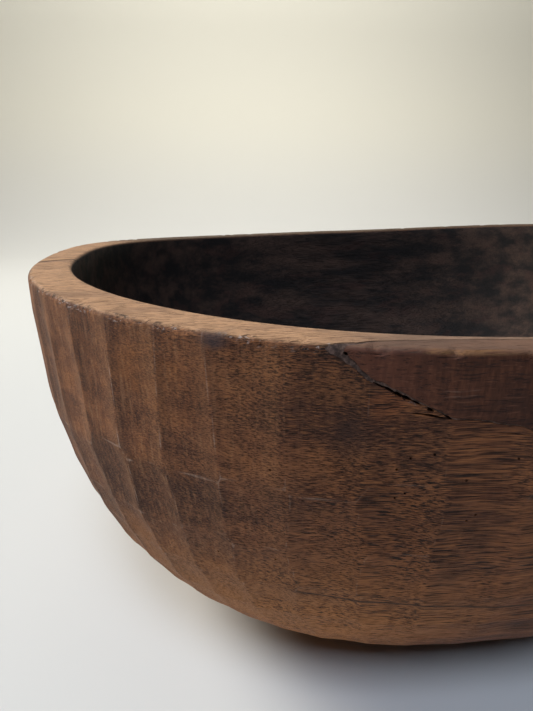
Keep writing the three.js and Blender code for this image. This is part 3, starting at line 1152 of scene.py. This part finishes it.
thread = wood.noise(curly, (15.0, 0.7, 0.32), rough=0.65, shift=5.0)
vessels = wood.noise(wavy, (42.0, 0.75, 0.75), rough=0.55, shift=7.0)
sparse = wood.noise(wood.place, (80.0, 14.0, 14.0), shift=3.0)
pores = wood.ease(thread, 0.52, 0.66)
lines = wood.ease(vessels, 0.54, 0.64) * wood.ease(sparse, 0.34, 0.58)
wood.stain(pores * wood.ease(along, -180.0, -60.0, 0.35, 0.95), PORE)
wood.stain(wood.ease(thread, 0.47, 0.33, high=0.42), FIBRE)
wood.stain(lines * wood.ease(along, -180.0, -60.0, 0.4, 0.95), LINE)
long_line = wood.streak(up + along * LINE_SLOPE - LINE_HEIGHT + (bands - 0.5) * 3.0, 0.9, 0.3)
long_line = long_line * wood.ease(across, -120.0, -150.0)
long_line = long_line * wood.ease(along, -112.0, -95.0) * wood.ease(along, 4.0, -12.0)
wood.stain(long_line * 0.8, tint(44, 28, 20))
print("grain of", len(wood.tree.nodes), "nodes")

# %% [markdown]
# The left end was handled most: fine scratches run up and down it, and the sharp ridges are rubbed to thin
# pale lines.
# Each flat there also gets painted light on one flank and painted shade on the other, as light from the left
# falls on a scooped flute.

# %% Wear, and painted light and shade on the flats
ridge = wood.kept("ridge") * 1000.0
beside = wood.kept("beside")
patchy = wood.noise(wood.place, 6.0, detail=3.0, rough=0.6, shift=11.0)
rubbed = wood.noise(wood.place, (22.0, 22.0, 16.0), shift=37.0)
# how strongly the left end shows its wear and its painted light and shade
left_wear_and_shading = wood.ease(along, -85.0, -160.0, low=0.1)
scratches = wood.noise(wood.place, (1.5, 1.5, 16.0), detail=3.0, rough=0.6, shift=47.0)
wood.stain(wood.ease(scratches, 0.5, 0.7, high=0.35) * left_wear_and_shading, tint(170, 124, 90))
wood.stain(wood.ease(scratches, 0.5, 0.3, high=0.35) * left_wear_and_shading, tint(62, 42, 34))
# painted light on one flank of each flat
painted_light_flank = wood.ease(beside, 0.1, 0.9) * (1 - wood.ease(beside, 0.97, 1.06))
wood.stain(painted_light_flank * left_wear_and_shading * wood.ease(patchy, 0.3, 0.65, 0.1, 0.34), tint(164, 118, 84))
# painted shade on the other flank
painted_shade_flank = wood.ease(beside, -0.35, -0.95) * left_wear_and_shading
wood.stain(painted_shade_flank * wood.ease(patchy, 0.3, 0.65, 0.1, 0.4), tint(60, 41, 35))
more_rubbed = rubbed + wood.ease(up, 175.0, 125.0, high=0.11) * wood.ease(along, -70.0, -110.0)
sharp = wood.ease(wood.kept("sharp"), 0.03, 0.15)
thin = wood.ease(ridge, 1.0, 0.15) * wood.ease(more_rubbed, 0.40, 0.56) * sharp
thin = thin * wood.ease(along, -85.0, -160.0, low=0.4)
wood.stain(thin * wood.ease(patchy, 0.35, 0.6, 0.2, 0.75), tint(188, 160, 142))
print("wear of", len(wood.tree.nodes), "nodes")

# %% [markdown]
# The rim was cut last and touched most, so it is tan, with fine pores of its own.
# It is greyer beside the repair, dark at the back, and a stain follows the check at the left end.

# %% The rim
CHECK_SLOPE, CHECK_ACROSS = 0.486, 73.8

edge = wood.kept("edge")
rim = wood.kept("rim")
rim_thread = wood.noise(curly, (6.5, 0.5, 0.5), detail=3.0, rough=0.7, shift=19.0)
rim_pores = wood.ease(rim_thread, 0.51, 0.62)
rim_color = wood.mix(rim_pores * 0.9, tint(190, 146, 110), tint(80, 53, 38))
rim_blotch = wood.noise(wood.place, (38.0, 12.0, 12.0), detail=3.0, rough=0.6, shift=13.0)
rim_color = wood.mix(wood.ease(rim_blotch, 0.45, 0.68, high=0.5), rim_color, tint(118, 88, 70))
greyed = wood.ease(along, -108.0, -60.0) * wood.ease(across, -110.0, -160.0)
rim_color = wood.mix(greyed * 0.75, rim_color, tint(122, 98, 84))
rim_color = wood.mix(wood.ease(across, 50.0, 135.0, high=0.85), rim_color, tint(62, 50, 42))
dirt = wood.streak(across - along * CHECK_SLOPE - CHECK_ACROSS, 2.4, 0.5) * wood.ease(along, -202.0, -206.0)
rim_color = wood.mix(dirt * 0.85, rim_color, tint(58, 44, 42))
wood.stain(wood.ease(rim + (rim_thread - 0.5) * 0.7, 0.35, 0.75), rim_color)
print("rim of", len(wood.tree.nodes), "nodes")

# %% [markdown]
# Knocks have left pale and dark flecks along the outer edge of the rim, in places and not all round.

# %% Flecks on the bruised edge
knocks = wood.noise(wood.place, (16.0, 16.0, 5.0), shift=43.0)
bruised = wood.ease(knocks, 0.37, 0.54)
specks = wood.noise(wood.place, (2.6, 1.8, 1.2), detail=3.0, rough=0.65, shift=17.0)
pale = wood.ease(specks, 0.55, 0.66) * wood.ease(edge, 0.55, 0.95) * (1 - wood.ease(rim, 0.7, 1.0))
wood.stain(pale * bruised * 0.7, tint(182, 168, 162))
bruise = wood.noise(wood.place, (3.8, 2.4, 1.4), detail=3.0, rough=0.65, shift=23.0)
dark = wood.ease(bruise, 0.53, 0.63) * wood.ease(edge, 0.4, 0.9) * (1 - wood.ease(rim, 0.85, 1.0))
wood.stain(dark * bruised * 0.8, tint(38, 27, 25))
print("flecks of", len(wood.tree.nodes), "nodes")

# %% [markdown]
# A few places near the repair are unlike the rest: a blotch soaked with oil, a dull flat, fresh wood
# beside the seam, fibres torn when the patch was fitted, and a smear of filler.
# Each is a spot with a ragged border, because the place that it reads is stirred by a noise.

# %% Single spots
stirred = wood.waver(wood.place, 6.0, (6.0, 6.0, 6.0), shift=3.0)
soaked = wood.near((-131.7, -174.7, 205.5), (9.0, 8.0, 4.6), 0.2, stirred)
wood.stain(soaked * 0.7, tint(74, 62, 63))
dulled = wood.near((-90.0, -187.0, 177.0), (12.0, 8.0, 12.0), 0.1, stirred)
wood.stain(dulled * 0.6, tint(50, 35, 31))
fresh = wood.near((-95.0, -188.5, 191.0), (14.0, 8.0, 9.0), 0.2, stirred)
wood.stain(fresh * (1 - pores) * 0.35, tint(140, 90, 55))
torn = wood.near((-79.0, -192.0, 187.5), (11.0, 6.0, 6.5), 0.3, stirred)
wood.stain(torn * wood.ease(thread, 0.58, 0.42) * 0.36, tint(150, 86, 50))
smears = wood.near((-71.0, -193.5, 187.2), (4.0, 3.0, 1.6), 0.3, stirred)
wood.stain(smears * wood.ease(specks, 0.5, 0.6) * 0.6, tint(128, 118, 114))
print("spots of", len(wood.tree.nodes), "nodes")

# %% [markdown]
# The hollow is almost black from years of use, with a little red in it. Holes and checks get painted shade,
# darker the deeper they lie.
# Last come the gloss and the relief: pores and lines are sunk a little, and pores are duller.

# %% The hollow, the gloss and the relief
soot = wood.noise(wavy, (80.0, 15.0, 15.0), detail=4.0, rough=0.65, shift=29.0)
dim = wood.mix(wood.ease(soot, 0.37, 0.68), tint(39, 35, 34), tint(84, 65, 56))
ruddy = wood.noise(wavy, (46.0, 11.0, 11.0), detail=3.0, rough=0.6, shift=61.0)
dim = wood.mix(wood.ease(ruddy, 0.52, 0.68, high=0.35), dim, tint(84, 57, 50))
dim = wood.mix(pores * 0.5 + lines * 0.3, dim, tint(22, 18, 17))
wood.stain(wood.ease(wood.kept("inside"), 0.25, 0.8), dim)
# painted shade in holes, checks and crumbs, darker the deeper the wood lies
wood.stain(wood.kept("deep") * 0.92, tint(16, 11, 9))
relief = (1 - pores) * 0.6 + (1 - lines) * 0.4 + patchy * 0.3
wood.shine(0.55 + 0.2 * patchy + 0.1 * pores, relief, depth=0.0004, specular=0.2)
print("hardwood of", len(wood.tree.nodes), "nodes")

# %% [markdown]
# ## The wood of the patch
# The patch is a denser, darker wood with a purple cast, a faint figure across it and short dark streaks.
# Its tip is redder, and two light scratches run along it.
# Its top was planed off with the rim and is nearly as light as the rim, with a golden worn edge in front.
# The helpers are the same as for the bowl, because kinds of wood differ mostly in pores, figure and colour.

# %% Hardwood of the patch
SCRATCH_HEIGHTS, SCRATCH_SLOPE = (194.0, 192.2), 0.03

dense = Finish(patch_hardwood)
leaning = dense.waver(dense.place, 14.0, (3.0, 0.0, 2.0))
figure = dense.noise(leaning, (1.4, 4.0, 6.0), detail=3.0, rough=0.6, shift=3.0)
cloud = dense.noise(dense.place, (30.0, 20.0, 14.0), detail=3.0, rough=0.6, shift=5.0)
dense.color = dense.mix(dense.ease(figure, 0.30, 0.75), tint(66, 38, 27), tint(94, 56, 39))
dense.stain(dense.ease(cloud, 0.42, 0.66, high=0.7), tint(54, 33, 26))
along, up = dense.axis("X"), dense.axis("Z")
dense.stain(dense.ease(along, -55.0, -88.0, high=0.4), tint(112, 68, 53))
bent = dense.waver(dense.place, 9.0, (0.0, 1.2, 1.2))
grain = dense.noise(bent, (12.0, 0.7, 0.7), rough=0.6, shift=8.0)
streaks = dense.ease(grain, 0.55, 0.68)
dense.stain(streaks * 0.6, tint(34, 21, 17))
dense.stain(dense.ease(grain, 0.42, 0.3, high=0.4), tint(120, 78, 58))
for level in SCRATCH_HEIGHTS:
    scratch = dense.streak(up - level - along * SCRATCH_SLOPE, 0.35, 0.12)
    scratch = scratch * dense.ease(along, -64.0, -61.0) * dense.ease(along, -50.5, -53.5)
    dense.stain(scratch * dense.ease(grain, 0.6, 0.4) * 0.4, tint(140, 110, 98))
print("patch face of", len(dense.tree.nodes), "nodes")

# %% Top of the patch
rim = dense.kept("rim")
top = dense.mix(streaks * 0.6, tint(116, 86, 70), tint(70, 49, 39))
top = dense.mix(dense.ease(cloud, 0.45, 0.6, high=0.5), top, tint(92, 70, 60))
dense.stain(dense.ease(rim + (grain - 0.5) * 0.9, 0.3, 0.75), top)
golden = dense.ease(rim, 0.15, 0.5) * dense.ease(rim, 1.0, 0.75)
golden = golden * dense.ease(along, -72.0, -66.0) * dense.ease(along, -38.0, -50.0, low=0.35)
dense.stain(golden * dense.ease(grain, 0.35, 0.6, 0.2, 0.75), tint(136, 96, 62))
patchy = dense.noise(dense.place, 5.0, detail=3.0, rough=0.6, shift=11.0)
dense.shine(0.55 + 0.2 * patchy, (1 - streaks) * 0.6 + figure * 0.4, depth=0.0004, specular=0.18)
print("patch of", len(dense.tree.nodes), "nodes")

# %% [markdown]
# ## The filler
# The filler was pressed into the seam and dried to a grey brown. It is dull, and has painted shade where it
# lies deep.
# One noise gives both its colour and its relief, so that the light lumps are the ones that stand up.

# %% Filler
putty = Finish(grey_filler)
lumps = putty.noise(putty.place, 2.2, detail=3.0, rough=0.65, shift=2.0)
putty.color = putty.mix(putty.ease(lumps, 0.38, 0.66), tint(60, 46, 41), tint(106, 83, 74))
# painted shade where the filler lies deep in the seam
putty.stain(putty.ease(putty.kept("deep"), 0.35, 0.9, high=0.9), tint(18, 13, 12))
putty.shine(0.8, lumps, depth=0.0006, specular=0.25)
print("filler of", len(putty.tree.nodes), "nodes")

# %% [markdown]
# ## Floor, light and camera
# The floor is a pale paper sweep that rises behind the bowl in one curve, so that no edge shows.
# The main light is soft and comes from behind on the left, so that the front of the bowl lies in shade.
# A weak cool light from the room fills that shade, and one lamp lights the wall.

# %% Floor
SWEEP_FRONT, SWEEP_START, SWEEP_ROUND, SWEEP_TOP = -2.6, 1.5, 0.9, 3.2
SWEEP_HALF_WIDTH, SWEEP_STEPS = 4.5, 24

turns = np.radians(np.linspace(0, 90, SWEEP_STEPS + 1))
bend = [(SWEEP_START + SWEEP_ROUND * math.sin(t), SWEEP_ROUND * (1 - math.cos(t))) for t in turns]
profile = [(SWEEP_FRONT, 0.0), *bend, (SWEEP_START + SWEEP_ROUND, SWEEP_TOP)]
sweep_points = [(x, y, z) for y, z in profile for x in (-SWEEP_HALF_WIDTH, SWEEP_HALF_WIDTH)]
sweep_faces = [(2 * i, 2 * i + 1, 2 * i + 3, 2 * i + 2) for i in range(len(profile) - 1)]
sweep_mesh = bpy.data.meshes.new("paper_sweep")
sweep_mesh.from_pydata(sweep_points, [], sweep_faces)
sweep_mesh.shade_smooth()

paper = bpy.data.materials.new("pale_paper")
sheet = Finish(paper)
shade = sheet.mix(sheet.ease(sheet.axis("Z"), 0.0, 600.0), (0.64, 0.64, 0.63, 1), (0.76, 0.74, 0.66, 1))
matt = sheet.node("ShaderNodeBsdfPrincipled", {}, {"Base Color": shade, "Roughness": 0.9})
sheet.node("ShaderNodeOutputMaterial", {}, {"Surface": matt})
sweep_mesh.materials.append(paper)
sweep = bpy.data.objects.new("paper_sweep", sweep_mesh)
bpy.context.scene.collection.objects.link(sweep)
sweep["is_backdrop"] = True
print("floor", len(sweep_faces), "faces")


# %% Light
def aimed(name, data, place, way):
    """A lamp or a camera at a place, looking one way."""
    thing = bpy.data.objects.new(name, data)
    thing.location = place
    thing.rotation_mode = "QUATERNION"
    thing.rotation_quaternion = Vector(way).to_track_quat("-Z", "Y")
    bpy.context.scene.collection.objects.link(thing)
    return thing


def soft_light(name, place, aim, size, spread, power, color):
    """A square studio lamp aimed at a point; a smaller spread keeps its light together."""
    lamp = bpy.data.lights.new(name, "AREA")
    lamp.shape = "SQUARE"
    lamp.size = size
    lamp.spread = math.radians(spread)
    lamp.energy = power
    lamp.color = color
    aimed(name, lamp, place, Vector(aim) - Vector(place))


soft_light("window", (-2.6, 1.1, 2.4), (0, 0, 0.1), 1.6, 75, power=27, color=(1.0, 0.98, 0.90))
soft_light("room", (-0.25, -1.5, 2.35), (0, -0.2, 0), 0.9, 60, power=4.2, color=(0.82, 0.93, 1.12))
soft_light("wall_light", (-0.2, 0.6, 3.0), (0.3, 2.4, 1.1), 1.5, 110, power=40, color=(1.0, 0.975, 0.91))
world = bpy.data.worlds.new("studio")
world.use_nodes = True
sky = world.node_tree.nodes["Background"].inputs
sky["Color"].default_value = (0.9, 0.95, 1.0, 1)
sky["Strength"].default_value = 0.02
bpy.context.scene.world = world
bpy.context.scene.view_settings.view_transform = "Standard"

# %% [markdown]
# The camera stands close to the front and a little above the rim.
# Its place and its lens were fitted to the outline of the real bowl, so that the render can be compared.

# %% Camera
CAMERA_PLACE, CAMERA_WAY = (-0.1348, -0.3393, 0.2540), (0.1125, 0.9428, -0.3139)

camera_data = bpy.data.cameras.new("camera")
camera_data.lens = 27.09
camera_data.sensor_width = 36
camera = aimed("camera", camera_data, CAMERA_PLACE, CAMERA_WAY)
bpy.context.scene.camera = camera
print("camera at", [round(v, 3) for v in camera.location])

# %% [markdown]
# ## Sizes and the end
# The box of the dressed bowl is printed.

# %% The size of the dressed bowl
low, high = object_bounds()
print("dressed box", [round(v, 4) for v in low], [round(v, 4) for v in high])
